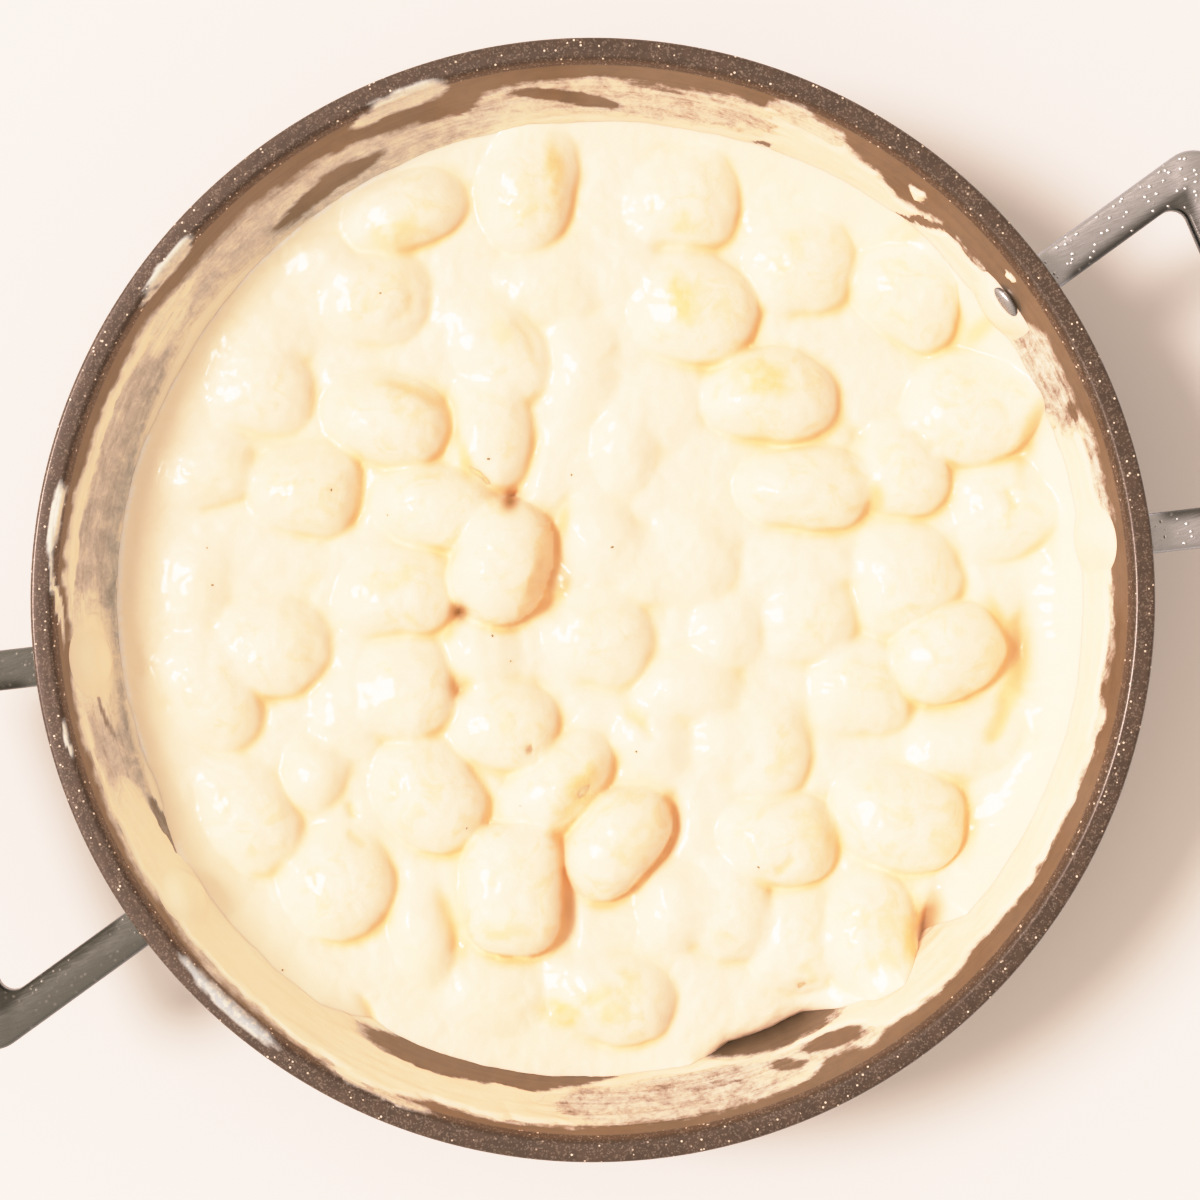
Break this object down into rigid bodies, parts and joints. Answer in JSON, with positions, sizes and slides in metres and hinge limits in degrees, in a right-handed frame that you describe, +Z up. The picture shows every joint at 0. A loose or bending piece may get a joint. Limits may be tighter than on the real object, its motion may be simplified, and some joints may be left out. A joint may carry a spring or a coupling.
{
  "type": "gnocchi in cream sauce",
  "caption": "Potato gnocchi in a thick cream sauce, in a wide flared pan with a steel loop handle on each side, for serving at the table.",
  "frame": {"origin": "middle of the pan's base, on the surface that it stands on", "axes": "+X along the line of the two handles, towards the right-hand one as seen with the torn gnocco near; +Z up out of the pan"},
  "size_m": [0.381, 0.2816, 0.07],
  "materials": {
    "pan_coating": "grey-brown non-stick coating with fine pale specks, satin",
    "satin_steel": "satin",
    "potato_dough": "soft, moist and slightly glossy",
    "cream": "thick and glossy"
  },
  "bodies": {
    "root": {"pan_body": "pan_coating", "handle_right": "satin_steel", "handle_left": "satin_steel", "rivet_right_a": "satin_steel", "rivet_right_b": "satin_steel", "rivet_left_a": "satin_steel", "rivet_left_b": "satin_steel", "gnocchi": "potato_dough", "cream_sauce": "cream", "sauce_film": "cream", "sauce_smear": "cream"}
  },
  "joints": []
}
